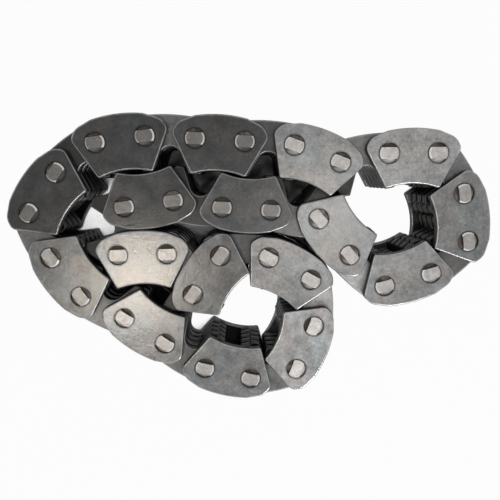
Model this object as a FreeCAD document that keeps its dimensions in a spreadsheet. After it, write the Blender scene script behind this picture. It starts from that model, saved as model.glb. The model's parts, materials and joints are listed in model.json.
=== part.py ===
"""Reverse gear chain: an endless toothed-plate chain lying on its side, folded into two lobes.

Guide rows and inner rows take turns round the loop. A guide row has a guide plate on each outer side and
toothed plates between them, with two pins pressed through all of them. An inner row has toothed plates only,
which turn on the pins of the guide rows beside it. The pins stand along +Z and the chain rests on their ends.
+X runs to the right end of the fold, and the origin is on the floor under the middle of the fold.
"""

import FreeCAD, Part
import math
import os
import Sketcher
from FreeCAD import Placement, Rotation, Vector

# Name, value in millimetres or a count, and what it measures.
DRIVING_SIZES = (
    ("pitch", 9.525, "distance between the two pins of a link"),
    ("guide_thickness", 1.5, "guide plate"),
    ("tooth_thickness", 4.4, "toothed plate"),
    ("plate_gap", 0.075, "play between neighbouring plates across the chain"),
    ("inner_plates", 2, "toothed plates in an inner row; a guide row has one fewer"),
    ("pin_diameter", 3.75, "pin, and its press fit in the guide row's plates"),
    ("pin_flat_width", 2.2, "across the two flats at each end of a pin"),
    ("pin_flat_length", 0.8, "length of those flats, from the pin's end"),
    ("pin_proud", 0.4, "how far a pin's end stands out of the guide plate"),
    ("pin_bevel", 0.3, "bevel round a pin's end"),
    ("running_clearance", 0.04, "all round a pin in a hole that turns on it"),
    ("open_clearance", 0.45, "all round the pin where the loop of joints is opened"),
    ("tip_round", 0.5, "radius at the outer corners of the teeth of every plate"),
    ("guide_back_height", 4.8, "guide plate: pin line to the middle of the back"),
    ("guide_back_reach", 0.2, "back corner, outward of the pin"),
    ("guide_back_rise", 4.3, "back corner, above the pin line"),
    ("guide_shoulder_reach", 3.45, "shoulder corner, outward of the pin"),
    ("guide_shoulder_rise", 2.95, "shoulder corner, above the pin line"),
    ("guide_shoulder_round", 2.9, "radius at the shoulder corner"),
    ("guide_nose_reach", 4.6, "nose corner, outward of the pin"),
    ("guide_nose_rise", 0.95, "nose corner, above the pin line"),
    ("guide_nose_round", 1.5, "radius at the nose corner"),
    ("guide_tip_reach", 0.5, "tooth corner, outward of the pin"),
    ("guide_tip_depth", 6.8, "tooth corner, below the pin line"),
    ("guide_notch_depth", 5.85, "pin line to the middle of the hollow edge between the tooth corners"),
    ("tooth_back_height", 4.45, "toothed plate: pin line to the middle of the back"),
    ("tooth_shoulder_reach", 5.55, "where the flank and the back would meet, outward of the pin"),
    ("tooth_shoulder_rise", 2.85, "where they would meet, above the pin line"),
    ("tooth_shoulder_round", 3.0, "radius between them"),
    ("tooth_tip_reach", 0.5, "outer corner of a tooth, outward of the pin"),
    ("tooth_tip_depth", 6.75, "tips of the teeth, below the pin line"),
    ("tooth_tip_width", 1.65, "tip of a tooth, between its two corners"),
    ("tooth_crotch_depth", 1.6, "pin line to the top of the hollow between the teeth"),
    ("tooth_crotch_round", 2.0, "radius of that hollow"),
)

# Direction of each link in degrees from +X, read to the half degree along the fold. It starts at the pin of the
# sharp fold in the middle and runs clockwise, a guide row first. The last two links follow from closing the loop.
LINK_DIRECTIONS = (
    (54.5, -2.5, -28.0, -85.5, -111.0, -168.0)  # round the lower lobe
    + (166.5, 146.5, 146.5, 152.0)  # bottom run
    + (125.5, 113.0, 54.5, 36.0)  # round the left end
    + (7.5, -2.5, -3.5, -4.0, -20.0, 10.5, 0.5)  # top run
    + (-55.0, -82.0, -138.0, -164.5, 139.0, 131.0)  # round the right lobe
    + (170.0, 176.5, 172.0, -172.5, -99.5)  # back along the middle and down into the sharp fold
)
OPEN_ROW = 17  # the inner row whose first hole has the open clearance

START, END, CENTRE = 1, 2, 3
ORIGIN, PIN_LINE, MIDDLE_LINE = -1, -1, -2

doc = FreeCAD.newDocument("reverse_gear_chain")


def make_sheet():
    """The sheet of driving sizes, one named cell each."""
    sheet = doc.addObject("Spreadsheet::Sheet", "Sizes")
    for row, (name, number, note) in enumerate(DRIVING_SIZES, start=1):
        sheet.set(f"A{row}", name)
        sheet.set(f"B{row}", str(number))
        sheet.set(f"C{row}", note)
        sheet.setAlias(f"B{row}", name)
    doc.recompute()
    return sheet


SHEET = make_sheet()


def value(expression):
    """What an expression on the sheet comes to, as a plain number."""
    return float(SHEET.evalExpression(expression))


def origin_feature(body, role):
    """One of a body's own planes or axes."""
    return next(item for item in body.Origin.OriginFeatures if item.Role == role)


class Profile:
    """A sketch parallel to the plates at a level above the lower guide plate, with dimensions bound to the sheet."""

    def __init__(self, body, name, level):
        self.sketch = body.newObject("Sketcher::SketchObject", name)
        self.sketch.AttachmentSupport = [(origin_feature(body, "XY_Plane"), "")]
        self.sketch.MapMode = "FlatFace"
        self.sketch.setExpression("AttachmentOffset.Base.z", level)
        self.constraints = []
        self.bound = {}

    def add(self, shape, construction=False):
        return self.sketch.addGeometry(shape, construction)

    def add_arc(self, start, middle, end):
        """An arc through three places; a sketch needs its arcs to run anticlockwise."""
        if (middle - start).cross(end - middle).z < 0:
            start, end = end, start
        return self.add(Part.Arc(start, middle, end))

    def fix(self, kind, *where):
        self.constraints.append(Sketcher.Constraint(kind, *where))

    def bind(self, label, kind, *where, to):
        """A dimension that follows an expression on the sheet."""
        self.bound[len(self.constraints)] = (label, to)
        self.fix(kind, *where, value(to))

    def settle(self):
        """Gives the sketch all its constraints at once, and ties the dimensions to the sheet."""
        self.sketch.addConstraint(self.constraints)
        for index, (label, expression) in self.bound.items():
            self.sketch.renameConstraint(index, label)
            self.sketch.setExpression(f"Constraints.{label}", expression)
        self.sketch.Visibility = False

    def end_near(self, edge, place):
        """Which end of an edge lies nearer to a place."""
        shape = self.sketch.Geometry[edge]
        to_start = shape.StartPoint.distanceToPoint(place)
        return START if to_start < shape.EndPoint.distanceToPoint(place) else END

    def join(self, kind, first, second, place):
        """Ties the ends of two edges at a place: Coincident, or Tangent where one runs smoothly into the other."""
        self.fix(kind, first, self.end_near(first, place), second, self.end_near(second, place))

    def set_point(self, label, point, along, across, side):
        """Holds a point outward of the middle line, and above (1) or below (-1) the pin line."""
        self.bind(f"{label}_along", "DistanceX", ORIGIN, START, *point, to=along)
        span = (ORIGIN, START, *point) if side > 0 else (*point, ORIGIN, START)
        self.bind(f"{label}_across", "DistanceY", *span, to=across)

    def set_middle(self, label, arc, across, side):
        """Makes an arc cross the middle line at a height above (1) or below (-1) the pin line."""
        point = self.add(Part.Point(Vector(0, side * value(across), 0)), True)
        self.fix("PointOnObject", point, START, MIDDLE_LINE)
        self.fix("PointOnObject", point, START, arc)
        span = (ORIGIN, START, point, START) if side > 0 else (point, START, ORIGIN, START)
        self.bind(f"{label}_middle", "DistanceY", *span, to=across)

    def hole(self, label, side, clearance):
        """A round hole on the pin line for the pin on the left (-1) or right (1), with a clearance all round."""
        diameter = f"Sizes.pin_diameter + 2 * {clearance}"
        centre = Vector(side * value("Sizes.pitch") / 2, 0, 0)
        ring = self.add(Part.Circle(centre, Vector(0, 0, 1), value(diameter) / 2))
        self.bind(f"{label}_diameter", "Diameter", ring, to=diameter)
        self.fix("PointOnObject", ring, CENTRE, PIN_LINE)
        span = (ORIGIN, START, ring, CENTRE) if side > 0 else (ring, CENTRE, ORIGIN, START)
        self.bind(f"{label}_along", "DistanceX", *span, to="Sizes.pitch / 2")

    def outline(self, corners, middles, smooth=()):
        """A closed outline through corners given anticlockwise.

        A corner is a place and the expression of the radius that rounds it, or None. middles gives the place
        that an arc passes, by the corner that it starts at; other edges are straight. Edges run smoothly into
        each other at the corners in smooth. The result is a handle on each corner's point and the round arcs.
        """
        count = len(corners)
        places = [place for place, _ in corners]
        starts, ends = list(places), list(places)
        rounds = {}
        for index, (place, radius) in enumerate(corners):
            if radius:
                before = heading(places[index - 1], place, middles.get((index - 1) % count))
                after = heading(places[(index + 1) % count], place, middles.get(index))
                starts[index], middle, ends[index] = rounded(place, before, after, value(radius))
                rounds[index] = self.add_arc(starts[index], middle, ends[index])
        edges = []
        for index in range(count):
            start, end = ends[index], starts[(index + 1) % count]
            if index in middles:
                edges.append(self.add_arc(start, middles[index], end))
            else:
                edges.append(self.add(Part.LineSegment(start, end)))
        handles = []
        for index, (place, radius) in enumerate(corners):
            before, after = edges[index - 1], edges[index]
            if radius:
                self.join("Tangent", before, rounds[index], starts[index])
                self.join("Tangent", rounds[index], after, ends[index])
                point = self.add(Part.Point(place), True)
                self.fix("PointOnObject", point, START, before)
                self.fix("PointOnObject", point, START, after)
                handles.append((point, START))
            else:
                self.join("Tangent" if index in smooth else "Coincident", before, after, place)
                handles.append((before, self.end_near(before, place)))
        return handles, rounds, edges


def heading(target, corner, middle):
    """Where an edge heads for as it leaves a corner: its other end, or where the end tangents of an arc meet."""
    return middle * 2 - (target + corner) * 0.5 if middle else target


def rounded(corner, before, after, radius):
    """First guess of the arc that rounds a corner: its start on the edge before, its middle and its end."""
    back = (before - corner).normalize()
    ahead = (after - corner).normalize()
    half = back.getAngle(ahead) / 2
    reach = radius / math.tan(half)
    centre = corner + (back + ahead).normalize() * (radius / math.sin(half))
    middle = centre + (corner - centre).normalize() * radius
    return corner + back * reach, middle, corner + ahead * reach


def mirrored(place):
    return Vector(-place.x, place.y, 0)


def corner(kind, name, height, side, rounding=None):
    """A corner of a plate's right half: its label, reach, height, side of the pin line, and radius."""
    reach = f"Sizes.pitch / 2 + Sizes.{kind}_{name}_reach"
    return name, reach, f"Sizes.{kind}_{name}_{height}", side, rounding


def draw_plate(profile, corners, extra_places, middles, smooth=()):
    """The outline of a plate whose left half mirrors the right half, from its right half's corners.

    extra_places are corners of the tooth side between the two halves. The result is the outline's edges.
    """
    count = len(corners)
    right = [(Vector(value(along), side * value(across), 0), radius) for _, along, across, side, radius in corners]
    left = [(mirrored(place), radius) for place, radius in reversed(right)]
    handles, rounds, edges = profile.outline(right + left + extra_places, middles, smooth)
    for index, (label, along, across, side, radius) in enumerate(corners):
        twin = 2 * count - 1 - index
        profile.set_point(label, handles[index], along, across, side)
        profile.fix("Symmetric", *handles[twin], *handles[index], MIDDLE_LINE)
        if radius:
            profile.bind(f"{label}_round", "Radius", rounds[index], to=radius)
            profile.fix("Equal", rounds[twin], rounds[index])
    return edges


def guide_outline(profile):
    """Guide plate: a low arched back and a hollow edge between two blunt corners on the tooth side."""
    corners = [
        corner("guide", "tip", "depth", -1, "Sizes.tip_round"),
        corner("guide", "nose", "rise", 1, "Sizes.guide_nose_round"),
        corner("guide", "shoulder", "rise", 1, "Sizes.guide_shoulder_round"),
        corner("guide", "back", "rise", 1),
    ]
    back, notch = len(corners) - 1, 2 * len(corners) - 1
    middles = {
        back: Vector(0, value("Sizes.guide_back_height"), 0),
        notch: Vector(0, -value("Sizes.guide_notch_depth"), 0),
    }
    edges = draw_plate(profile, corners, [], middles)
    profile.set_middle("back", edges[back], "Sizes.guide_back_height", 1)
    profile.set_middle("notch", edges[notch], "Sizes.guide_notch_depth", -1)


def toothed_outline(profile):
    """Toothed plate: two teeth with slanted outer flanks and a round hollow between them."""
    inner_reach = "Sizes.pitch / 2 + Sizes.tooth_tip_reach - Sizes.tooth_tip_width"
    corners = [
        ("inner_tip", inner_reach, "Sizes.tooth_tip_depth", -1, None),
        corner("tooth", "tip", "depth", -1, "Sizes.tip_round"),
        corner("tooth", "shoulder", "rise", 1, "Sizes.tooth_shoulder_round"),
    ]
    back, crotch = len(corners) - 1, 2 * len(corners)
    top = value("Sizes.tooth_crotch_depth")
    radius = value("Sizes.tooth_crotch_round")
    left_tip = Vector(-value(inner_reach), -value("Sizes.tooth_tip_depth"), 0)
    touch = tangent_point(left_tip, Vector(0, -top - radius, 0), radius)
    middles = {
        back: Vector(0, value("Sizes.tooth_back_height"), 0),
        crotch: Vector(0, -top, 0),
    }
    hollow = [(touch, None), (mirrored(touch), None)]
    edges = draw_plate(profile, corners, hollow, middles, smooth=(crotch, crotch + 1))
    profile.set_middle("back", edges[back], "Sizes.tooth_back_height", 1)
    profile.set_middle("crotch", edges[crotch], "Sizes.tooth_crotch_depth", -1)
    profile.fix("PointOnObject", edges[crotch], CENTRE, MIDDLE_LINE)
    profile.bind("crotch_round", "Radius", edges[crotch], to="Sizes.tooth_crotch_round")


def tangent_point(outside, centre, radius):
    """Where the line from a point touches a circle, on the side away from the pin line's middle."""
    span = outside - centre
    distance = span.Length
    along = radius * radius / distance
    across = radius * math.sqrt(distance * distance - radius * radius) / distance
    unit = span * (1 / distance)
    return centre + unit * along + Vector(unit.y, -unit.x, 0) * across


def new_body(name):
    return doc.addObject("PartDesign::Body", name)


def plate_stack(body, name, outline, clearances, level, thickness, count, step):
    """Like plates one above another: a sketch of the plate, its pad, and a row of copies up the chain's width."""
    profile = Profile(body, f"{name}_outline", level)
    outline(profile)
    for label, side, clearance in zip(("left_hole", "right_hole"), (-1, 1), clearances):
        profile.hole(label, side, clearance)
    profile.settle()
    pad = body.newObject("PartDesign::Pad", f"{name}_plate")
    pad.Profile = profile.sketch
    pad.setExpression("Length", thickness)
    stack = body.newObject("PartDesign::LinearPattern", f"{name}_stack")
    stack.Originals = [pad]
    stack.Direction = (origin_feature(body, "Z_Axis"), [""])
    stack.Mode = "Spacing"
    stack.setExpression("Offset", step)
    stack.setExpression("Occurrences", count)
    body.Tip = stack


# Levels and steps across the chain, from the lower guide plate's outer face.
LAYER = "(Sizes.tooth_thickness + Sizes.plate_gap)"
FIRST_LAYER = "Sizes.guide_thickness + Sizes.plate_gap"
TOP_GUIDE = f"{FIRST_LAYER} + (2 * Sizes.inner_plates - 1) * {LAYER}"
CHAIN_WIDTH = f"{TOP_GUIDE} + Sizes.guide_thickness"


def make_guide_row():
    """The pattern of a guide row: toothed plates between two guide plates, holes pressed on the pins."""
    body = new_body("guide_row_pattern")
    pressed = ("0", "0")
    inner_level = f"{FIRST_LAYER} + {LAYER}"
    plate_stack(
        body, "toothed", toothed_outline, pressed, inner_level,
        "Sizes.tooth_thickness", "Sizes.inner_plates - 1", f"2 * {LAYER}",
    )
    plate_stack(
        body, "guide", guide_outline, pressed, "0",
        "Sizes.guide_thickness", "2", TOP_GUIDE,
    )
    return body


def make_inner_row(name, clearances):
    """The pattern of an inner row: toothed plates whose holes turn on the pins of the rows beside it."""
    body = new_body(name)
    plate_stack(
        body, "toothed", toothed_outline, clearances, FIRST_LAYER,
        "Sizes.tooth_thickness", "Sizes.inner_plates", f"2 * {LAYER}",
    )
    return body


def flat_strips(profile):
    """Two strips along the link that pass both pins, one outward of each flat."""
    reach_size = "Sizes.pitch / 2 + Sizes.pin_diameter"
    reach, near, far = value(reach_size), value("Sizes.pin_flat_width") / 2, value("Sizes.pin_diameter")
    for label, side in (("back_flat", 1), ("tooth_flat", -1)):
        corners = [
            Vector(-reach, side * near, 0), Vector(reach, side * near, 0),
            Vector(reach, side * far, 0), Vector(-reach, side * far, 0),
        ]
        following = corners[1:] + corners[:1]
        edges = [profile.add(Part.LineSegment(*ends)) for ends in zip(corners, following)]
        for first, second, place in zip(edges, edges[1:] + edges[:1], following):
            profile.join("Coincident", first, second, place)
        near_edge, right_edge, far_edge, left_edge = edges
        profile.fix("Horizontal", near_edge)
        profile.fix("Vertical", right_edge)
        profile.fix("Horizontal", far_edge)
        profile.fix("Vertical", left_edge)
        profile.set_point(label, (near_edge, END), reach_size, "Sizes.pin_flat_width / 2", side)
        profile.bind(f"{label}_length", "DistanceX", near_edge, START, near_edge, END, to=f"2 * ({reach_size})")
        span = (right_edge, START, right_edge, END) if side > 0 else (right_edge, END, right_edge, START)
        profile.bind(f"{label}_width", "DistanceY", *span, to="Sizes.pin_diameter - Sizes.pin_flat_width / 2")


def make_pins():
    """The pattern of a guide row's two pins: round, with bevelled ends, and two flats along the link at each end."""
    body = new_body("pins_pattern")
    section = Profile(body, "pin_section", "-Sizes.pin_proud")
    section.hole("left_pin", -1, "0")
    section.hole("right_pin", 1, "0")
    section.settle()
    pad = body.newObject("PartDesign::Pad", "pin_length")
    pad.Profile = section.sketch
    pad.setExpression("Length", f"{CHAIN_WIDTH} + 2 * Sizes.pin_proud")
    body.Tip = pad
    doc.recompute()
    ends = [f"Face{i + 1}" for i, face in enumerate(pad.Shape.Faces) if isinstance(face.Surface, Part.Plane)]
    bevel = body.newObject("PartDesign::Chamfer", "pin_ends")
    bevel.Base = (pad, ends)
    bevel.setExpression("Size", "Sizes.pin_bevel")
    body.Tip = bevel
    for label, level, upward in (
        ("upper_flats", f"{CHAIN_WIDTH} + Sizes.pin_proud", False), ("lower_flats", "-Sizes.pin_proud", True),
    ):
        strips = Profile(body, f"{label}_strips", level)
        flat_strips(strips)
        strips.settle()
        flats = body.newObject("PartDesign::Pocket", label)
        flats.Profile = strips.sketch
        flats.Reversed = upward
        flats.setExpression("Length", "Sizes.pin_flat_length")
        body.Tip = flats
    return body


def pin_places():
    """Places of the pins round the loop: a start, a step along each link, and the closing pin."""
    pitch = value("Sizes.pitch")
    places = [Vector(0, 0, 0)]
    for direction in LINK_DIRECTIONS:
        angle = math.radians(direction)
        places.append(places[-1] + Vector(math.cos(angle), math.sin(angle), 0) * pitch)
    chord = places[0] - places[-1]
    rise = math.sqrt(pitch * pitch - (chord.Length / 2) ** 2)
    outward = Vector(-chord.y, chord.x, 0).normalize()
    places.append(places[-1] + chord * 0.5 + outward * rise)
    return places


def row_placements():
    """Where each link's own frame lies: its middle, turned along the link, the pins' lower ends on the floor."""
    places = pin_places()
    lift = Vector(0, 0, value("Sizes.pin_proud"))
    placements = []
    for first, second in zip(places, places[1:] + places[:1]):
        along = second - first
        turn = math.degrees(math.atan2(along.y, along.x))
        placements.append(Placement((first + second) * 0.5 + lift, Rotation(Vector(0, 0, 1), turn)))
    return placements


def copy_row(pattern, name, placement):
    """A row with the shape of its pattern at its own place in the fold."""
    body = new_body(name)
    body.Label = name
    base = body.newObject("PartDesign::FeatureBase", f"{name}_shape")
    base.BaseFeature = pattern
    body.Tip = base
    body.Placement = placement
    return body


def centre_on_floor(rows):
    """Moves every row by the same amount, so that the fold's box is centred on the origin."""
    box = FreeCAD.BoundBox()
    for row in rows:
        box.add(row.Shape.optimalBoundingBox(False, False))
    shift = Vector(-box.Center.x, -box.Center.y, 0)
    for row in rows:
        row.Placement = Placement(row.Placement.Base + shift, row.Placement.Rotation)


def make_rows():
    """All rows of the chain, each as its own sub-part."""
    guide_pattern = make_guide_row()
    pins_pattern = make_pins()
    turning = "Sizes.running_clearance"
    inner_pattern = make_inner_row("inner_row_pattern", (turning, turning))
    open_pattern = make_inner_row("open_row_pattern", ("Sizes.open_clearance", turning))
    doc.recompute()
    rows = []
    for index, placement in enumerate(row_placements()):
        number = index // 2 + 1
        if index % 2 == 0:
            rows.append(copy_row(guide_pattern, f"guide_row_{number:02d}", placement))
            rows.append(copy_row(pins_pattern, f"pins_{number:02d}", placement))
        else:
            pattern = open_pattern if number == OPEN_ROW else inner_pattern
            rows.append(copy_row(pattern, f"inner_row_{number:02d}", placement))
    doc.recompute()
    centre_on_floor(rows)
    doc.recompute()
    return rows


def check(rows):
    """Stops if any object of the document failed or any row has no sound shape."""
    for item in doc.Objects:
        if {"Invalid", "Error"} & set(item.State):
            raise RuntimeError(f"{item.Label} failed: {item.State}")
    for row in rows:
        if row.Shape.isNull() or not row.Shape.isValid():
            raise RuntimeError(f"{row.Label} has no valid shape")


def write(rows):
    os.makedirs("parts", exist_ok=True)
    for row in rows:
        row.Shape.exportStep(f"parts/{row.Label}.step")


chain_rows = make_rows()
check(chain_rows)
write(chain_rows)
width = value(CHAIN_WIDTH)
print(f"{len(chain_rows)} sub-parts, {width:.2f} mm over the guide plates")
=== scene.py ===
"""Looks of the reverse gear chain: thin link plates with worn edges and painted highlights on them, on flat-sided
pins, in soft studio light.
"""

import json
import math

import bpy
import numpy as np
from mathutils import Matrix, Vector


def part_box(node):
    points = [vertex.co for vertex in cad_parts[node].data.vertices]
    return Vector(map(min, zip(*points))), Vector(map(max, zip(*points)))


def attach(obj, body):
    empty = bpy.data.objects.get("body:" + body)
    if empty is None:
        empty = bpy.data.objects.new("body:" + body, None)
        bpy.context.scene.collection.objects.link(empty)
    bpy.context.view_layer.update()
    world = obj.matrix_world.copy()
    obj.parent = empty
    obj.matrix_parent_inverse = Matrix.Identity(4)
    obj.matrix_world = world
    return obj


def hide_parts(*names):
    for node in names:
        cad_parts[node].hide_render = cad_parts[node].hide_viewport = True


bl_info = {
    "name": "Reverse gear chain",
    "version": (1, 0, 0),
    "blender": (4, 5, 0),
    "location": "View3D > Sidebar > Chain",
    "description": "Link plates, pins and studio of a folded silent chain",
    "category": "Object",
}

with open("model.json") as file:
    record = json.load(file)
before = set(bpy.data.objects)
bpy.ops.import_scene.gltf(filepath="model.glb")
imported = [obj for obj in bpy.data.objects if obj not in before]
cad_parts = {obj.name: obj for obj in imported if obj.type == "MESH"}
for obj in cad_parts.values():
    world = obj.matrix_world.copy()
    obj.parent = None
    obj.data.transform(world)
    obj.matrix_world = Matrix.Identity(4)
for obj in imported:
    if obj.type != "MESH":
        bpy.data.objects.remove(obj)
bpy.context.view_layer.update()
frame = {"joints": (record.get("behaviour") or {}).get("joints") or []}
MM = 0.001
ROWS = 17

# How finely outlines are cut: the longest step along an edge, and the widest turn round a corner.
GUIDE_STEPS = 1.1 * MM, math.radians(14)
TOOTHED_STEPS = 1.6 * MM, math.radians(20)

# How bright the steel of each guide row and inner row is, in the order of the rows: partly each row's own finish,
# partly painted light and shade, darker on the top run and lighter on the lit rows of the lobes.
GUIDE_TONES = (
    0.35, 0.51, 0.61, 0.45, 0.46, 0.38,  # lower lobe and left end
    0.20, 0.22, 0.23, 0.51, 0.56, 0.45,  # top run and right end
    0.51, 0.50, 0.28, 0.22, 0.46,  # right lobe and middle
)
INNER_TONES = (
    0.27, 0.57, 0.37, 0.37, 0.42, 0.35,  # lower lobe and left end
    0.13, 0.36, 0.25, 0.41, 0.40, 0.33,  # top run and right end
    0.62, 0.42, 0.19, 0.17, 0.30,  # right lobe and middle
)
TOOTHED_SHARE = 0.8  # tone of a guide row's toothed plates, as a share of its guide plates' tone
PIN_GAIN, PIN_LIFT = 1.05, 0.03  # from a guide row's tone to that of its pins
GUIDE_GLOSS, TOOTHED_GLOSS = 0.10, 0.26  # lowest roughness of the plates
PIN_KEY_LIGHT = 1.3  # tone of a pin's walls where painted lit on the side towards the key lamp, as a share of its ends' tone

# Steps between the plates' own coordinates in millimetres: by piece along x and z, by plate in a stack along y.
OWN_STEPS = 31.0, 17.0, 7.0
TOOTHED_SEED, INNER_SEED = 40, 80  # where the pieces of those rows start to count

# Painted shade on the floor, where the chain closes round it: how the floor turns white to the camera, and how far it
# looks round for the chain, the open share up to which it stays matt, how steeply it turns above that, and how white
# it gets.
FLOOR_REACH, FLOOR_SHUT, FLOOR_GAIN, FLOOR_WHITE = 0.020, 0.045, 40.0, 0.97

KEY_SIDE = 0.5, -0.87  # towards the key lamp in the plane of the plates; the pins' walls and shoulders are painted lit on this side
LAMP_AIM = 0, 0, 0.01
LAMPS = (  # name, place, size, power and colour
    ("key", (0.17, -0.30, 0.27), 0.16, 1.1, (1, 1, 1)),
    ("glow_left", (-0.084, -0.064, 0.317), 0.03, 0.12, (1, 0.90, 0.76)),
    ("glow_right", (0.064, -0.014, 0.317), 0.05, 0.04, (1, 0.95, 0.88)),
)


def length(name, millimetres, description):
    """A size in the sidebar, given here in millimetres."""
    return bpy.props.FloatProperty(
        name=name, description=description, default=millimetres * MM, unit="LENGTH", precision=6,
    )


def share(name, default, description):
    """A number from nothing to all."""
    return bpy.props.FloatProperty(
        name=name, description=description, default=default, min=0.0, max=1.0, subtype="FACTOR",
    )


def colour(name, default, description):
    """A colour in the sidebar, as linear red, green and blue."""
    return bpy.props.FloatVectorProperty(
        name=name, description=description, default=default, min=0.0, max=1.0, size=3, subtype="COLOR",
    )


class GuidePlateSizes(bpy.types.PropertyGroup):
    """Outline of the guide plates; reaches count outward from a pin, heights and depths from the pin line."""

    thickness: length("Thickness", 1.5, "Thickness of a guide plate")
    back_height: length("Back height", 4.8, "Pin line to the middle of the back")
    back_reach: length("Back corner reach", 0.2, "Back corner, outward of the pin")
    back_rise: length("Back corner rise", 4.3, "Back corner, above the pin line")
    shoulder_reach: length("Shoulder reach", 3.45, "Shoulder corner, outward of the pin")
    shoulder_rise: length("Shoulder rise", 2.95, "Shoulder corner, above the pin line")
    shoulder_round: length("Shoulder radius", 2.9, "Radius at the shoulder corner")
    nose_reach: length("Nose reach", 4.6, "Nose corner, outward of the pin")
    nose_rise: length("Nose rise", 0.95, "Nose corner, above the pin line")
    nose_round: length("Nose radius", 1.5, "Radius at the nose corner")
    tip_reach: length("Tooth corner reach", 0.5, "Tooth corner, outward of the pin")
    tip_depth: length("Tooth corner depth", 6.8, "Tooth corner, below the pin line")
    tip_round: length("Tooth corner radius", 0.5, "Radius at the tooth corner")
    notch_depth: length("Hollow edge depth", 5.85, "Pin line to the middle of the hollow edge")


class ToothedPlateSizes(bpy.types.PropertyGroup):
    """Outline of the toothed plates, measured as on the guide plates."""

    count: bpy.props.IntProperty(
        name="Plates in an inner row", description="Toothed plates side by side; a guide row has one fewer",
        default=5, min=2, max=9,
    )
    gap: length("Gap", 0.05, "Play between neighbouring plates")
    back_height: length("Back height", 4.45, "Pin line to the middle of the back")
    shoulder_reach: length("Shoulder reach", 5.55, "Where the flank and the back would meet")
    shoulder_rise: length("Shoulder rise", 2.85, "Where they would meet, above the pin line")
    shoulder_round: length("Shoulder radius", 3.0, "Radius between flank and back")
    tip_reach: length("Tip reach", 0.5, "Outer corner of a tooth, outward of the pin")
    tip_depth: length("Tip depth", 6.75, "Tips of the teeth, below the pin line")
    tip_width: length("Tip width", 1.65, "Tip of a tooth, between its two corners")
    tip_round: length("Tip radius", 0.5, "Radius at the outer corner of a tooth")
    crotch_depth: length("Crotch depth", 1.6, "Pin line to the top of the hollow between the teeth")
    crotch_round: length("Crotch radius", 2.0, "Radius of that hollow")


class PinSizes(bpy.types.PropertyGroup):
    """The pins, their holes, and the small bevels of plates and pins."""

    diameter: length("Pin diameter", 3.75, "Across the round sides of a pin")
    flat_width: length("Across flats", 2.2, "Across the two flats at each end of a pin")
    flat_length: length("Length of the flats", 0.8, "Length of those flats, from the pin's end")
    bevel: length("Pin bevel", 0.3, "Bevel round a pin's end")
    clearance: length("Clearance", 0.04, "All round a pin in a hole that turns on it")
    open_clearance: length("Wide clearance", 0.1, "All round the pin that has no hinge of its own")
    plate_bevel: length("Plate bevel", 0.18, "Tumbled edge of the plates")
    # The bright rim is a band of wear and painted highlight along every edge of a plate.
    rim: length("Bright rim", 0.16, "Width of the rubbed rim beside a plate's edge")


class SteelLooks(bpy.types.PropertyGroup):
    """Colours and wear of the steel, with the painted highlights and shade among them."""

    warm: colour("Warm patches", (1.0, 0.965, 0.94), "Tint of the warmer patches")
    cool: colour("Cool patches", (0.92, 0.97, 1.0), "Tint of the cooler patches")
    speck: colour("Speck", (0.05, 0.035, 0.03), "Small dark specks")
    # Oil colour: grime, and painted shade as well, round the pins, in the holes, on the teeth and on the walls.
    oil: colour("Oil", (0.005, 0.005, 0.005), "Grime round the pins, on the teeth and on the walls")
    # Plate edge colour: oily blanked steel, near black also as painted shade in the deep gaps between the plates.
    edge: colour("Plate edge", (0.03, 0.029, 0.028), "Blanked edges of the plates")
    # Glint colour: painted glints in the smears on the dark walls.
    glint: colour("Glint", (0.13, 0.125, 0.12), "Smears where the film on them is thin")
    # Rim colour: partly rubbed steel, partly a painted highlight along the plates' edges and in the smears on the
    # pins' sides.
    rim: colour("Rim", (0.42, 0.42, 0.43), "Rubbed edges of the plates")
    # Pin shoulder colour: the shaded side of the pins' walls and shoulders; the side towards the key lamp is painted
    # lit over it.
    shoulder: colour("Pin shoulder", (0.13, 0.105, 0.09), "Dull sides and shoulders of the pins")
    brushing: share("Brushing", 0.30, "Strength of the fine lines along a plate")
    bare: share("Bare steel", 0.5, "How far the plates are bright metal, not dull film")


class StudioSettings(bpy.types.PropertyGroup):
    """Camera, floor and lights."""

    lens: bpy.props.FloatProperty(name="Lens", description="Focal length", default=37.1, unit="CAMERA")
    eye: bpy.props.FloatVectorProperty(
        name="Camera place", description="Where the camera stands", size=3, subtype="TRANSLATION",
        default=(-2.3 * MM, 16.2 * MM, 117.1 * MM), precision=4,
    )
    aim: bpy.props.FloatVectorProperty(
        name="Camera aim", description="What the camera looks at", size=3, subtype="TRANSLATION",
        default=(-0.25 * MM, 2.2 * MM, 17.0 * MM), precision=4,
    )
    # Dark grey matt floor shown where the chain closes round it: painted shade in the gaps and under the chain.
    floor: colour("Floor", (0.3, 0.3, 0.3), "Floor where the chain stands over it")
    fill: share("Fill light", 0.3, "Strength of the light from all round")


def sizes():
    """The sizes of guide plates, toothed plates and pins that the open scene holds."""
    return bpy.context.scene.chain_guides, bpy.context.scene.chain_teeth, bpy.context.scene.chain_pins


# Shapes in the plane of a plate: plain numpy points in metres, x along the link and y towards its back.


def arc_through(start, middle, end):
    """Centre and radius of the circle through three points, and 1 if it bulges out of an anticlockwise outline."""
    sides = 2 * np.array([middle - start, end - middle])
    squares = np.array([middle @ middle - start @ start, end @ end - middle @ middle])
    centre = np.linalg.solve(sides, squares)
    turn = np.cross(middle - start, end - middle)
    return centre, np.linalg.norm(start - centre), math.copysign(1.0, turn)


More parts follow.
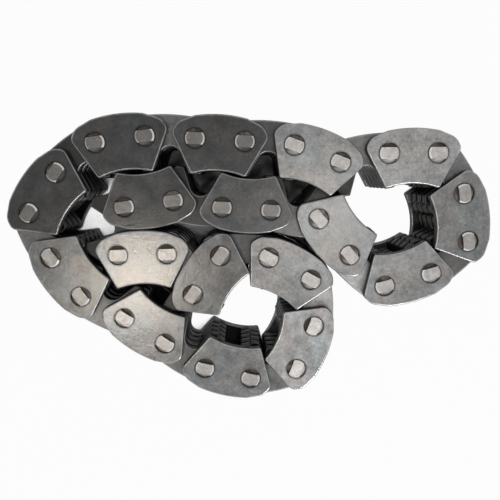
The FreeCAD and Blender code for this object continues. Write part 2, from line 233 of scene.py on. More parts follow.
def inward_distance(edge, place):
    """How far a place lies inside an edge of an anticlockwise outline, and the direction in which that grows.

    For a straight edge it is the distance to the left of the line; for an arc the radius less the distance to its
    centre, or the other way round for a hollow arc.
    """
    start, middle, end = edge
    if middle is None:
        along = (end - start) / np.linalg.norm(end - start)
        left = np.array([-along[1], along[0]])
        return (place - start) @ left, left
    centre, radius, side = arc_through(start, middle, end)
    away = place - centre
    reach = np.linalg.norm(away)
    return side * (radius - reach), -side * away / reach


def round_corner(before, after, radius):
    """Centre of the circle of a given radius that touches both edges at a corner, and its two touching points.

    Newton's rule moves the centre until it lies one radius inside of both edges; a dozen rounds are ample.
    """
    rounds = 12
    centre = np.array(before[2], float)
    for _ in range(rounds):
        first, grows_first = inward_distance(before, centre)
        second, grows_second = inward_distance(after, centre)
        centre = centre + np.linalg.solve(np.array([grows_first, grows_second]), [radius - first, radius - second])
    return centre, centre - radius * grows_first, centre - radius * grows_second


def along_arc(start, end, centre, side, step):
    """Points on a circle from a start to an end: equal turns of the radius, anticlockwise where side is 1."""
    first, last = start - centre, end - centre
    turn = math.atan2(np.cross(first, last), first @ last) % (side * 2 * math.pi)
    count = max(2, 2 * math.ceil(abs(turn) / step / 2))
    turns = np.linspace(0, turn, count + 1)[:, None]
    return centre + first * np.cos(turns) + np.array([-first[1], first[0]]) * np.sin(turns)


def along_line(start, end, step):
    """Points spread evenly on a straight edge."""
    count = max(1, math.ceil(np.linalg.norm(end - start) / step))
    return start + np.linspace(0, 1, count + 1)[:, None] * (end - start)


def closed_outline(corners, step, turn_step):
    """Points along a closed anticlockwise outline with rounded corners and bulged edges.

    A corner is a point, the radius that rounds it, or 0, and a point that the edge after it passes, or None.
    """
    count = len(corners)
    points = [np.array(point, float) for point, _, _ in corners]
    bulges = [None if bulge is None else np.array(bulge, float) for _, _, bulge in corners]
    edges = [(points[i], bulges[i], points[(i + 1) % count]) for i in range(count)]
    starts, ends, rounds = list(points), list(points), [None] * count
    for i, (_, radius, _) in enumerate(corners):
        if radius:
            centre, ends[i], starts[i] = round_corner(edges[i - 1], edges[i], radius)
            rounds[i] = along_arc(ends[i], starts[i], centre, 1, turn_step)
    stretches = []
    for i, edge in enumerate(edges):
        if rounds[i] is not None:
            stretches.append(rounds[i][:-1])
        start, end = starts[i], ends[(i + 1) % count]
        if edge[1] is None:
            stretches.append(along_line(start, end, step)[:-1])
        else:
            centre, radius, side = arc_through(*edge)
            stretches.append(along_arc(start, end, centre, side, min(turn_step, step / radius))[:-1])
    return np.concatenate(stretches)


def mirrored(corners):
    """The left half of an outline from its right half: the same corners in turned order."""
    flipped = []
    for i in range(len(corners) - 1, -1, -1):
        (x, y), radius, _ = corners[i]
        bulge = corners[i - 1][2] if i else None
        flipped.append(((-x, y), radius, None if bulge is None else (-bulge[0], bulge[1])))
    return flipped


def guide_outline(guides, half_pitch):
    """Guide plate: a low arched back, round shoulders, straight flanks and a hollow edge between blunt corners."""
    right = [
        ((half_pitch + guides.tip_reach, -guides.tip_depth), guides.tip_round, None),
        ((half_pitch + guides.nose_reach, guides.nose_rise), guides.nose_round, None),
        ((half_pitch + guides.shoulder_reach, guides.shoulder_rise), guides.shoulder_round, None),
        ((half_pitch + guides.back_reach, guides.back_rise), 0, (0, guides.back_height)),
    ]
    left = mirrored(right)
    left[-1] = (*left[-1][:2], (0, -guides.notch_depth))
    return closed_outline(right + left, *GUIDE_STEPS)


def toothed_outline(teeth, half_pitch):
    """Toothed plate: two teeth with slanted flanks, a round hollow between them and a low arched back."""
    inner = half_pitch + teeth.tip_reach - teeth.tip_width
    right = [
        ((inner, -teeth.tip_depth), 0, None),
        ((half_pitch + teeth.tip_reach, -teeth.tip_depth), teeth.tip_round, None),
        ((half_pitch + teeth.shoulder_reach, teeth.shoulder_rise), teeth.shoulder_round, (0, teeth.back_height)),
    ]
    radius = teeth.crotch_round
    centre = np.array([0, -teeth.crotch_depth - radius])
    span = np.array([inner, -teeth.tip_depth]) - centre
    reach = np.linalg.norm(span)
    unit = span / reach
    across = math.sqrt(reach * reach - radius * radius) / reach
    touch = centre + radius * (unit * radius / reach + np.array([-unit[1], unit[0]]) * across)
    hollow = [((-touch[0], touch[1]), 0, (0, -teeth.crotch_depth)), (tuple(touch), 0, None)]
    return closed_outline(right + mirrored(right) + hollow, *TOOTHED_STEPS)


def split_at_middle(outline):
    """Turns the outline so that it starts under the middle, and says how many points its right half has."""
    close = 1e-4 * MM
    central = np.where(np.abs(outline[:, 0]) < close)[0]
    bottom, top = sorted(central, key=lambda index: outline[index, 1])
    return np.roll(outline, -bottom, axis=0), (top - bottom) % len(outline)


def outward_normals(outline):
    """Normals at the points of an anticlockwise outline: of unit length, and as the sums of their edges' normals."""
    edges = np.roll(outline, -1, axis=0) - outline
    normals = np.column_stack([edges[:, 1], -edges[:, 0]])
    normals /= np.linalg.norm(normals, axis=1)[:, None]
    both = normals + np.roll(normals, 1, axis=0)
    return both / np.linalg.norm(both, axis=1)[:, None], both


def inset(outline, distance):
    """The outline moved inward by a distance, with its corners kept sharp."""
    unit, both = outward_normals(outline)
    shortened = np.linalg.norm(both, axis=1)[:, None] / 2
    return outline - unit * distance / shortened


class Surface:
    """Points with their normals, shares of wear and painted light and of grime and painted shade, and the four-sided
    faces between rings of them.

    A face is bright (0) or one of the dark walls (1), oily steel that is also painted dark for the shade between the
    plates.
    """

    def __init__(self):
        self.points, self.normals, self.rubbed, self.grimy, self.faces, self.walls = [], [], [], [], [], []
        self.count = 0

    def ring(self, flat, height, normals, rubbed=0.0, grimy=0.0):
        """A row of points at one height; the result is their numbers."""
        amount = len(flat)
        self.points.append(np.column_stack([flat, np.full(amount, height)]))
        self.normals.append(np.broadcast_to(normals, (amount, 3)))
        self.rubbed.append(np.full(amount, rubbed))
        self.grimy.append(np.full(amount, grimy))
        self.count += amount
        return np.arange(self.count - amount, self.count)

    def band(self, outer, inner, wall=0):
        """Closed band of faces between two rings that run anticlockwise, seen from the side that is outside."""
        self.faces.append(np.column_stack([inner, outer, np.roll(outer, -1), np.roll(inner, -1)]))
        self.walls.append(np.full(len(inner), wall))

    def face_band(self, side, outer, inner, wall=0):
        """A band that looks up where side is 1 and down where it is -1."""
        self.band(*((outer, inner) if side > 0 else (inner, outer)), wall)

    def strip(self, one, other):
        """Open strip of faces between two rows of points."""
        self.faces.append(np.column_stack([one[:-1], other[:-1], other[1:], one[1:]]))
        self.walls.append(np.zeros(len(one) - 1, int))

    def arrays(self):
        parts = self.points, self.normals, self.rubbed, self.grimy, self.faces, self.walls
        return [np.concatenate(part) for part in parts]


def flat_to_space(flat):
    """Flat directions as directions in space."""
    return np.column_stack([flat, np.zeros(len(flat))])


def plate_surface(outline, half_pitch, hole_radii, thickness, bevel, rim):
    """A plate with two round holes, left and right, as rings along its outline and round its holes.

    Up the wall the outline is carried by a profile: inset by the bevel at both faces, and full between. Each face
    is two grids, one round each hole: a point is on the straight line from the hole's centre to a point of the
    boundary, either on the hole or on the boundary, and the boundary is half the outline and the middle line.
    """
    lean, middle_points = 0.5, 5
    surface = Surface()
    outline, half = split_at_middle(outline)
    unit, _ = outward_normals(outline)
    outward = flat_to_space(unit)
    shallow, deep = inset(outline, bevel), inset(outline, bevel + rim)
    walls = []
    for height, side in ((0.0, -1), (thickness, 1)):
        up = np.array([0, 0, side])
        face = surface.ring(deep, height, up)
        # The edge and brink carry a full share of wear and painted highlight: the bright rim, on every edge alike.
        edge = surface.ring(shallow, height, (outward * lean + up) / math.sqrt(1 + lean * lean), rubbed=1.0)
        brink = surface.ring(outline, height - side * bevel, outward, rubbed=1.0)
        surface.face_band(side, brink, edge)
        surface.face_band(side, edge, face)
        walls.append(brink)
        steps = np.linspace(deep[half, 1], deep[0, 1], middle_points + 2)[1:-1]
        middle = surface.ring(np.column_stack([np.zeros(len(steps)), steps]), height, up)
        halves = (
            (half_pitch, hole_radii[1], np.concatenate([face[: half + 1], middle])),
            (-half_pitch, hole_radii[0], np.concatenate([face[half:], face[:1], middle[::-1]])),
        )
        for middle_x, hole_radius, boundary in halves:
            centre = np.array([middle_x, 0])
            spokes = np.concatenate(surface.points)[boundary][:, :2] - centre
            spokes /= np.linalg.norm(spokes, axis=1)[:, None]
            around = surface.ring(centre + spokes * (hole_radius + bevel + 1.5 * rim), height, up)
            # Painted shade, partly grime: the lip darkens towards the pin, and the bore is dark.
            lip = surface.ring(centre + spokes * (hole_radius + 0.6 * bevel), height, up, grimy=0.9)
            bore = surface.ring(
                centre + spokes * hole_radius, height - side * bevel, flat_to_space(-spokes), grimy=1.0,
            )
            surface.face_band(side, boundary, around)
            surface.face_band(side, around, lip)
            surface.face_band(side, lip, bore)
            walls.append(bore)
    lower_wall, lower_right, lower_left, upper_wall, upper_right, upper_left = walls
    surface.band(lower_wall, upper_wall, 1)
    surface.band(upper_right, lower_right, 1)
    surface.band(upper_left, lower_left, 1)
    return surface.arrays()


def pin_surface(pins, length):
    """A pin along Z: a round shank, and at each end a shoulder, two flats and a bevel on the arcs between them.

    A section with flats is half of it, one arc and one straight stretch with evenly spread points, and the same
    turned half way round. The end face is a strip between its section's halves above and below the middle.
    """
    surface = Surface()
    radius, flat = pins.diameter / 2, pins.flat_width / 2
    slimmer = 0.995  # the flatted ends against the shank
    count = 10  # points on an arc

    def section(reach, straight):
        """Points of a section and their outward directions; the stretches between the arcs are straight or round."""
        lean = math.asin(flat / reach)
        turns = np.concatenate([
            np.linspace(-lean, lean, count), np.linspace(lean, math.pi - lean, count + 2)[1:-1],
        ])
        half = np.column_stack([np.cos(turns), np.sin(turns)])
        outward, points = half.copy(), half * reach
        if straight:
            points[count:, 0] = np.linspace(points[count - 1, 0], -points[count - 1, 0], count + 2)[1:-1]
            points[count:, 1] = flat
            outward[count:] = (0, 1)
        return np.concatenate([points, -points]), flat_to_space(np.concatenate([outward, -outward]))

    round_ring, round_out = section(radius, False)
    wide_ring, wide_out = section(radius * slimmer, True)
    top_ring, _ = section(radius - pins.bevel, True)
    on_arc = np.tile(np.arange(2 * count) < count, 2)
    shanks = []
    for end, side in ((0.0, -1), (length, 1)):
        up = np.array([0, 0, side])
        low, high = end - side * pins.flat_length, end - side * pins.bevel
        slanted = np.where(on_arc[:, None], (wide_out + up) * math.sqrt(0.5), wide_out)
        shank = surface.ring(round_ring, low, round_out)
        shoulder = surface.ring(round_ring, low, up), surface.ring(wide_ring, low, up)
        sides = surface.ring(wide_ring, low, wide_out), surface.ring(wide_ring, high, wide_out)
        # The bevel's arcs carry a full share of painted highlight, the end face a tenth of it.
        bevel = surface.ring(wide_ring, high, slanted, on_arc), surface.ring(top_ring, end, slanted, on_arc)
        for rings, wall in ((shoulder, 1), (sides, 1), (bevel, 0)):
            surface.face_band(side, *rings, wall)
        face = np.roll(surface.ring(top_ring, end, up, rubbed=0.1), -count // 2)
        upper, lower = face[: 2 * count], face[2 * count:][::-1]
        surface.strip(*((lower, upper) if side > 0 else (upper, lower)))
        shanks.append(shank)
    surface.band(*shanks, 1)
    return surface.arrays()


# Pieces: surfaces set in their places along the fold.


def half_of_pitch(places):
    """Half the distance between the two pins of a link."""
    return np.linalg.norm(places["hinge_01_right"] - places["hinge_01_left"]) / 2


def hinge_places():
    """Where the pins stand, read from the hinges of the frame; the opened pivot lies across its own pins' middle."""
    places = {joint["name"]: np.array(joint["pos_m"][:2]) for joint in frame["joints"]}
    low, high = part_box("pins_17")
    middle = (np.array(low) + np.array(high))[:2] / 2
    places["hinge_17_right"] = 2 * middle - places["hinge_17_left"]
    return places


def link_frame(start, end):
    """Middle of a link and its direction as a 2 x 2 turn."""
    along = (end - start) / np.linalg.norm(end - start)
    return (start + end) / 2, np.array([along, [-along[1], along[0]]])


def stacked(plates, heights, middle, turn, seed):
    """Copies of a surface at given heights, set in a link's place, with each plate's own coordinates kept.

    A copy's own coordinates are its unturned ones in millimetres, moved along by a step of its own, so that no
    two plates share their brush marks.
    """
    points, normals, rubbed, grimy, faces, walls = plates
    copies = []
    for index, height in enumerate(heights):
        copies.append((
            np.column_stack([middle + points[:, :2] @ turn, points[:, 2] + height]),
            np.column_stack([normals[:, :2] @ turn, normals[:, 2]]),
            rubbed, grimy, faces + index * len(points), walls,
            points / MM + np.array([seed, index, seed]) * OWN_STEPS,
        ))
    return [np.concatenate(part) for part in zip(*copies)]


def make_piece(name, parts, tone, materials, body, node):
    """A mesh piece with its tone, its wear and its painted light and shade stored on it, riding on a body and
    standing for a CAD node.

    Of the two materials the second is for the walls.
    """
    points, normals, rubbed, grimy, faces, walls, own = parts
    mesh = bpy.data.meshes.new(name)
    mesh.from_pydata(points, [], faces)
    mesh.polygons.foreach_set("use_smooth", np.ones(len(faces), bool))
    mesh.polygons.foreach_set("material_index", walls)
    for label, kind, values in (
        ("own_place", "FLOAT_VECTOR", own), ("rubbed", "FLOAT", rubbed), ("grimy", "FLOAT", grimy),
        ("tone", "FLOAT", np.full(len(points), tone)),
    ):
        layer = mesh.attributes.new(label, kind, "POINT")
        layer.data.foreach_set("vector" if kind == "FLOAT_VECTOR" else "value", np.ravel(values).astype(np.float32))
    for material in materials:
        mesh.materials.append(material)
    mesh.update()
    mesh.normals_split_custom_set_from_vertices(normals)
    piece = bpy.data.objects.new(name, mesh)
    bpy.context.scene.collection.objects.link(piece)
    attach(piece, body)
    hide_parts(node)


def oiled_teeth(plates):
    """The same surface with its faces ever darker from the pin line down to the teeth."""
    depth = 3.5 * MM
    points, normals, rubbed, grimy, faces, walls = plates
    return points, normals, rubbed, np.maximum(grimy, np.clip(-points[:, 1] / depth, 0, 1)), faces, walls


def wiped_below(parts, centre, radius):
    """A pin whose walls and shoulders are painted lit on the side towards the key lamp."""
    points, _, rubbed, _, faces, walls, _ = parts
    walled = np.unique(faces[walls == 1])
    rubbed[walled] = np.clip(1.5 * (points[walled, :2] - centre) @ KEY_SIDE / radius, 0, 1)
    return parts


def layer_levels(guides, teeth):
    """Lower faces of the toothed plates from the floor up, and their thickness: the space between the guide
    plates, less the gaps, shared out evenly."""
    low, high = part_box("guide_row_01")
    layers = 2 * teeth.count - 1
    room = high[2] - low[2] - 2 * guides.thickness
    thickness = (room - (layers + 1) * teeth.gap) / layers
    first = low[2] + guides.thickness + teeth.gap
    return first + np.arange(layers) * (thickness + teeth.gap), thickness


# Materials: shader maths written as expressions on sockets.


class Wire:
    """An output socket that adds, subtracts and multiplies by way of Math nodes."""

    def __init__(self, shader, socket):
        self.shader, self.socket = shader, socket

    def _math(self, operation, *values):
        return self.shader.node("ShaderNodeMath", {"operation": operation}, dict(enumerate(values)))

    def __add__(self, other):
        return self._math("ADD", self, other)

    __radd__ = __add__

    def __sub__(self, other):
        return self._math("SUBTRACT", self, other)

    def __rsub__(self, other):
        return self._math("SUBTRACT", other, self)

    def __mul__(self, other):
        return self._math("MULTIPLY", self, other)

    __rmul__ = __mul__

    def clamped(self):
        return self.shader.node("ShaderNodeClamp", {}, {0: self})

    def spread(self, gain):
        """More contrast about a half, kept between 0 and 1."""
        return ((self - 0.5) * gain + 0.5).clamped()


class Shader:
    """The node tree of a material or a world; every node comes from one method."""

    def __init__(self, owner):
        self.owner = owner
        owner.use_nodes = True
        self.tree = owner.node_tree
        self.tree.nodes.clear()

    def node(self, kind, settings, inputs, output=0):
        """A node with its settings made first, then its sockets' values or links; the result is one output."""
        made = self.tree.nodes.new(kind)
        for key, setting in settings.items():
            if key == "stops":
                self._set_stops(made.color_ramp, setting)
            else:
                setattr(made, key, setting)
        for key, given in inputs.items():
            if isinstance(given, Wire):
                self.tree.links.new(given.socket, made.inputs[key])
            else:
                made.inputs[key].default_value = given
        return None if output is None else Wire(self, made.outputs[output])

    @staticmethod
    def _set_stops(ramp, stops):
        for index, (place, shade) in enumerate(stops):
            element = ramp.elements[index] if index < 2 else ramp.elements.new(place)
            element.position = place
            element.color = (shade, shade, shade, 1)

    def number(self, attribute):
        return self.node("ShaderNodeAttribute", {"attribute_name": attribute}, {}, "Fac")

    def own_place(self, scale):
        """The piece's own coordinates in millimetres, stretched along its three directions."""
        place = self.node("ShaderNodeAttribute", {"attribute_name": "own_place"}, {}, "Vector")
        return self.node("ShaderNodeVectorMath", {"operation": "MULTIPLY"}, {0: place, 1: scale})

    def noise(self, place, scale, detail=3.0, roughness=0.5):
        inputs = {"Vector": place, "Scale": scale, "Detail": detail, "Roughness": roughness}
        return self.node("ShaderNodeTexNoise", {}, inputs, "Fac")

    def ramp(self, amount, *stops):
        return self.node("ShaderNodeValToRGB", {"stops": stops}, {0: amount}, "Color")

    def grey(self, amount):
        return self.node("ShaderNodeCombineColor", {}, {0: amount, 1: amount, 2: amount})

    def mix(self, share_of_second, first, second, blend="MIX"):
        """A mix of two colours."""
        settings = {"data_type": "RGBA", "blend_type": blend}
        return self.node("ShaderNodeMix", settings, {0: share_of_second, 6: first, 7: second}, 2)

    def ray_is(self, *kinds):
        """1 where a ray is one of the named kinds of Light Path, else 0."""
        path = [self.node("ShaderNodeLightPath", {}, {}, f"Is {kind} Ray") for kind in kinds]
        return sum(path[1:], path[0]).clamped()

    def finish(self, surface, kind="Material"):
        self.node(f"ShaderNodeOutput{kind}", {}, {0: surface}, None)
        return self.owner


def full(rgb):
    """A colour with its fourth, opaque number."""
    return (*rgb, 1.0)


def plate_steel(name, gloss):
    """Rolled steel with fine lines along the plate, cloudy warm and cool patches, specks, and rims of wear and
    painted highlight.

    The grey is the square of the stored tone, so that tones are as bright as they look; patches, lines, grime with
    painted shade and rims with painted highlight are mixed over it by noise and by the shares stored on the mesh.
    """
    looks = bpy.context.scene.chain_looks
    shader = Shader(bpy.data.materials.new(name))
    even = (1.0, 1.0, 1.0)
    lines = shader.noise(shader.own_place((0.12, 6.0, 0.5)), 1.0, 4.0, 0.6)
    cross = shader.noise(shader.own_place((3.0, 0.1, 0.5)), 1.0, 3.0, 0.6)
    cloud = shader.noise(shader.own_place(even), 0.35, 5.0, 0.65).spread(2.4)
    hue = shader.noise(shader.own_place(even), 0.13, 3.0, 0.6)
    grain = shader.noise(shader.own_place(even), 1.8, 4.0, 0.75).spread(2.0)
    tone, rubbed = shader.number("tone"), shader.number("rubbed")
    streaks = 1 + looks.brushing * (lines * 0.6 + cross * 0.4 - 0.5)
    bright = tone * (0.68 + cloud * 0.30 + grain * 0.30) * streaks
    tint = shader.mix(((hue - 0.38) * 4.0).clamped(), full(looks.warm), full(looks.cool))
    steel = shader.mix(1.0, shader.grey(bright * bright), tint, "MULTIPLY")
    specks = shader.ramp(shader.noise(shader.own_place(even), 1.7, 3.0, 0.8), (0.56, 0.0), (0.68, 1.0))
    grimy = shader.number("grimy")
    steel = shader.mix(specks * 0.4, steel, full(looks.speck))
    # Grime and painted shade: the oil colour over the lips round the pins, the bores and the teeth.
    steel = shader.mix((grimy * (0.7 + 0.5 * cloud)).clamped(), steel, full(looks.oil))
    # Painted highlight, partly wear: the rim colour over the edges, less where grime and painted shade lie.
    steel = shader.mix((rubbed * (0.3 + 0.6 * cloud) * (1 - 0.7 * grimy)).clamped(), steel, full(looks.rim))
    relief = lines * 0.4 + grain + cloud * 0.4
    bump = shader.node("ShaderNodeBump", {}, {"Strength": 0.14, "Distance": 0.00012, "Height": relief}, "Normal")
    surface = shader.node("ShaderNodeBsdfPrincipled", {}, {
        "Base Color": steel, "Metallic": looks.bare, "Roughness": gloss + 0.08 * grain + 0.12 * cloud, "Normal": bump,
    })
    return shader.finish(surface)


def pin_steel(name):
    """Ground pin ends in their plate's tone, with a rough sheared face and a painted highlight on the bevel."""
    looks = bpy.context.scene.chain_looks
    shader = Shader(bpy.data.materials.new(name))
    even = (1.0, 1.0, 1.0)
    grain = shader.noise(shader.own_place(even), 1.9, 4.0, 0.65)
    pits = shader.noise(shader.own_place(even), 0.7, 2.0, 0.5)
    level = shader.number("tone") * (0.55 + 0.45 * grain + 0.45 * pits)
    steel = shader.mix(1.0, shader.grey(level * level), full(looks.warm), "MULTIPLY")
    # Painted highlight: the bevel arcs, and faintly the end face, mixed towards warm white.
    steel = shader.mix(shader.number("rubbed") * 0.6, steel, full(looks.warm))
    bump = shader.node(
        "ShaderNodeBump", {}, {"Strength": 0.25, "Distance": 0.0002, "Height": grain + pits}, "Normal",
    )
    surface = shader.node("ShaderNodeBsdfPrincipled", {}, {
        "Base Color": steel, "Metallic": 0.7, "Roughness": 0.22 + 0.16 * grain, "Normal": bump,
    })
    return shader.finish(surface)


def dull_film(name, clean, smear_glint, key_light=0.0):
    """A dull film over steel, with painted glints in smears, and black where the surface carries grime and painted
    shade.

    Where the key-light share isn't 0, the parts painted lit towards the key lamp show as steel, that much brighter
    than the stored tone.
    """
    shader = Shader(bpy.data.materials.new(name))
    smear = shader.noise(shader.own_place((0.4, 0.4, 1.5)), 1.2, 4.0, 0.65)
    # Painted glints: the smears turn towards the glint colour.
    film = shader.mix(shader.ramp(smear, (0.50, 0.0), (0.72, 1.0)), full(clean), full(smear_glint))
    # Grime and painted shade: black where that share is high.
    film = shader.mix(shader.number("grimy"), film, full(bpy.context.scene.chain_looks.oil))
    # Painted light: the pins' walls brighten on the side towards the key lamp.
    if key_light:
        level = shader.number("tone") * (key_light * (0.75 + 0.5 * smear))
        film = shader.mix(shader.number("rubbed"), film, shader.grey(level * level))
    surface = shader.node("ShaderNodeBsdfPrincipled", {}, {
        "Base Color": film, "Roughness": 0.35 + 0.2 * smear, "Specular IOR Level": 0.08,
    })
    return shader.finish(surface)


def get_material(make, name, *settings):
    """A material made once and then shared."""
    return bpy.data.materials.get(name) or make(name, *settings)


def plate_materials(name, gloss):
    """The materials of a plate's faces and of its walls."""
    looks = bpy.context.scene.chain_looks
    return get_material(plate_steel, name, gloss), get_material(dull_film, "plate_walls", looks.edge, looks.glint)


# Operators: one for each group of like pieces, and one for the stage.


class CHAIN_OT_guide_rows(bpy.types.Operator):
    """Add the guide plates and the toothed plates between them"""

    bl_idname = "chain.guide_rows"
    bl_label = "Guide rows"

    def execute(self, context):
        guides, teeth, pins = sizes()
        places = hinge_places()
        half = half_of_pitch(places)
        radius = pins.diameter / 2
        guide = plate_surface(
            guide_outline(guides, half), half, (radius, radius), guides.thickness, pins.plate_bevel, pins.rim,
        )
        levels, thickness = layer_levels(guides, teeth)
        toothed = oiled_teeth(plate_surface(
            toothed_outline(teeth, half), half, (radius, radius), thickness, pins.plate_bevel, pins.rim,
        ))
        low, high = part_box("guide_row_01")
        outer = plate_materials("guide_plate_steel", GUIDE_GLOSS)
        inner = plate_materials("toothed_plate_steel", TOOTHED_GLOSS)
        for number in range(1, ROWS + 1):
            middle, turn = link_frame(places[f"hinge_{number:02d}_left"], places[f"hinge_{number:02d}_right"])
            body, node = f"guide_link_{number:02d}", f"guide_row_{number:02d}"
            tone = GUIDE_TONES[number - 1]
            make_piece(
                f"guide_plates_{number:02d}",
                stacked(guide, (low[2], high[2] - guides.thickness), middle, turn, number),
                tone, outer, body, node,
            )
            make_piece(
                f"toothed_plates_{number:02d}",
                stacked(toothed, levels[1::2], middle, turn, number + TOOTHED_SEED),
                tone * TOOTHED_SHARE, inner, body, node,
            )
        return {"FINISHED"}


class CHAIN_OT_inner_rows(bpy.types.Operator):
    """Add the toothed plates that turn on the pins between two guide rows"""

    bl_idname = "chain.inner_rows"
    bl_label = "Inner rows"

    def execute(self, context):
        guides, teeth, pins = sizes()
        places = hinge_places()
        half = half_of_pitch(places)
        levels, thickness = layer_levels(guides, teeth)
        radius = pins.diameter / 2 + pins.clearance
        plates, last_plates = (
            oiled_teeth(plate_surface(
                toothed_outline(teeth, half), half, (left, radius), thickness, pins.plate_bevel, pins.rim,
            ))
            for left in (radius, pins.diameter / 2 + pins.open_clearance)
        )
        materials = plate_materials("toothed_plate_steel", TOOTHED_GLOSS)
        for number in range(1, ROWS + 1):
            following = number % ROWS + 1
            middle, turn = link_frame(places[f"hinge_{number:02d}_right"], places[f"hinge_{following:02d}_left"])
            shape = last_plates if number == ROWS else plates
            make_piece(
                f"inner_plates_{number:02d}", stacked(shape, levels[::2], middle, turn, number + INNER_SEED),
                INNER_TONES[number - 1], materials, f"inner_link_{number:02d}", f"inner_row_{number:02d}",
            )
        return {"FINISHED"}


class CHAIN_OT_pins(bpy.types.Operator):
    """Add the two flat-sided pins of every guide row"""

    bl_idname = "chain.pins"
    bl_label = "Pins"

    def execute(self, context):
        _, _, pins = sizes()
        places = hinge_places()
        low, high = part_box("pins_01")
        shape = pin_surface(pins, high[2] - low[2])
        looks = context.scene.chain_looks
        # Pin sides: the dark shoulder colour for the shaded side, painted light towards the key lamp, and painted
        # glints in the rim colour.
        sides = get_material(dull_film, "pin_sides", looks.shoulder, looks.rim, PIN_KEY_LIGHT)
        materials = get_material(pin_steel, "pin_end_steel"), sides
        for number in range(1, ROWS + 1):
            ends = [places[f"hinge_{number:02d}_left"], places[f"hinge_{number:02d}_right"]]
            _, turn = link_frame(*ends)
            pair = [
                wiped_below(stacked(shape, (low[2],), end, turn, 2 * number + k), end, pins.diameter / 2)
                for k, end in enumerate(ends)
            ]
            pair[1][4] = pair[1][4] + len(shape[0])
            tone = GUIDE_TONES[number - 1] * PIN_GAIN + PIN_LIFT
            make_piece(
                f"pin_pair_{number:02d}", [np.concatenate(part) for part in zip(*pair)], tone, materials,
                f"guide_link_{number:02d}", f"pins_{number:02d}",
            )
        return {"FINISHED"}


def look_from(eye, aim):
    """Turn of a camera or lamp at one place that looks at another, with +Y of the row upward in the picture."""
    back = np.array(eye) - np.array(aim)
    back /= np.linalg.norm(back)
    right = np.cross([0, 1, 0], back)
    right /= np.linalg.norm(right)
    up = np.cross(back, right)
    return np.column_stack([right, up, back])


def aimed(data, name, eye, aim):
    """A camera or lamp set at a place and turned to another."""
    thing = bpy.data.objects.new(name, data)
    bpy.context.scene.collection.objects.link(thing)
    matrix = np.eye(4)
    matrix[:3, :3] = look_from(eye, aim)
    matrix[:3, 3] = eye
    thing.matrix_world = Matrix(matrix)
    return thing


def floor_material(tint):
    """White floor where it lies open; where the chain closes round it, painted shade as a dark grey matt floor, which
    also takes the chain's shadow.
    """
    shader = Shader(bpy.data.materials.new("pale_floor"))
    open_share = shader.node("ShaderNodeAmbientOcclusion", {"samples": 96}, {"Distance": FLOOR_REACH}, "AO")
    seen = shader.ray_is("Camera", "Glossy", "Transmission")
    # Painted shade: the white fades where the occlusion share is low, leaving the dark matt floor.
    part = seen * ((open_share - FLOOR_SHUT) * FLOOR_GAIN).clamped() * FLOOR_WHITE
    matt = shader.node("ShaderNodeBsdfDiffuse", {}, {"Color": full(tint)})
    white = shader.node("ShaderNodeEmission", {}, {"Color": (1, 1, 1, 1), "Strength": 1.0})
    return shader.finish(shader.node("ShaderNodeMixShader", {}, {0: part, 1: matt, 2: white}))


def white_world(fill):
    """White all round to the camera and in reflections, and a weaker white as light."""
    shader = Shader(bpy.data.worlds.new("studio_white"))
    light, white = (
        shader.node("ShaderNodeBackground", {}, {"Color": (1, 1, 1, 1), "Strength": strength})
        for strength in (fill, 1.0)
    )
    seen = shader.ray_is("Camera", "Glossy", "Transmission")
    return shader.finish(shader.node("ShaderNodeMixShader", {}, {0: seen, 1: light, 2: white}), "World")


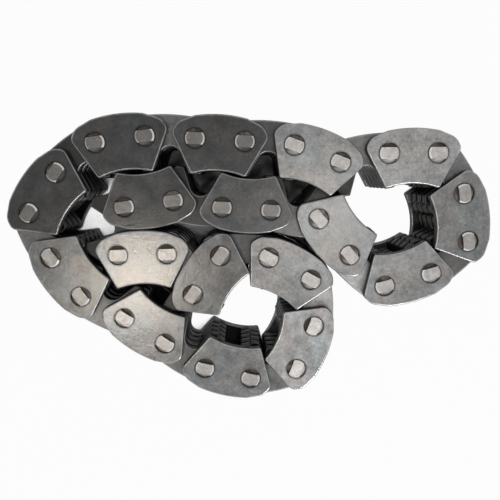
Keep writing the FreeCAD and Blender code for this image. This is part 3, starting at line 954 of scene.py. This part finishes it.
class CHAIN_OT_stage(bpy.types.Operator):
    """Add the floor, the lights and the camera"""

    bl_idname = "chain.stage"
    bl_label = "Stage"

    def execute(self, context):
        studio = context.scene.chain_studio
        reach = 2.0
        corners = np.array([[-reach, -reach, 0], [reach, -reach, 0], [reach, reach, 0], [-reach, reach, 0]])
        mesh = bpy.data.meshes.new("floor")
        mesh.from_pydata(corners, [], [(0, 1, 2, 3)])
        mesh.materials.append(floor_material(studio.floor))
        floor = bpy.data.objects.new("floor", mesh)
        context.scene.collection.objects.link(floor)
        context.scene.world = white_world(studio.fill)
        for name, eye, size, power, tint in LAMPS:
            lamp = bpy.data.lights.new(name, "AREA")
            lamp.shape, lamp.size, lamp.energy, lamp.color = "SQUARE", size, power, tint
            aimed(lamp, name, eye, LAMP_AIM)
        camera = bpy.data.cameras.new("camera")
        camera.lens, camera.sensor_width = studio.lens, 36.0
        camera.clip_start, camera.clip_end = 0.005, 10.0
        context.scene.camera = aimed(camera, "camera", studio.eye, studio.aim)
        context.scene.view_settings.view_transform = "Standard"
        return {"FINISHED"}


class CHAIN_PT_panel(bpy.types.Panel):
    """The chain's sizes, colours and steps in the sidebar"""

    bl_label = "Reverse gear chain"
    bl_idname = "CHAIN_PT_panel"
    bl_space_type = "VIEW_3D"
    bl_region_type = "UI"
    bl_category = "Chain"

    def draw(self, context):
        for operator in STEPS:
            self.layout.operator(operator.bl_idname)
        for name, group in GROUPS.items():
            column = self.layout.column(heading=group.__name__)
            for key in group.__annotations__:
                column.prop(getattr(context.scene, name), key)


STEPS = (CHAIN_OT_guide_rows, CHAIN_OT_inner_rows, CHAIN_OT_pins, CHAIN_OT_stage)
GROUPS = {
    "chain_guides": GuidePlateSizes,
    "chain_teeth": ToothedPlateSizes,
    "chain_pins": PinSizes,
    "chain_looks": SteelLooks,
    "chain_studio": StudioSettings,
}


def register():
    for kind in (*GROUPS.values(), *STEPS, CHAIN_PT_panel):
        bpy.utils.register_class(kind)
    for name, group in GROUPS.items():
        setattr(bpy.types.Scene, name, bpy.props.PointerProperty(type=group))


def unregister():
    for name in GROUPS:
        delattr(bpy.types.Scene, name)
    for kind in (CHAIN_PT_panel, *reversed(STEPS), *reversed(GROUPS.values())):
        bpy.utils.unregister_class(kind)


def main():
    register()
    bpy.ops.chain.guide_rows()
    bpy.ops.chain.inner_rows()
    bpy.ops.chain.pins()
    bpy.ops.chain.stage()


if __name__ == "__main__":
    main()
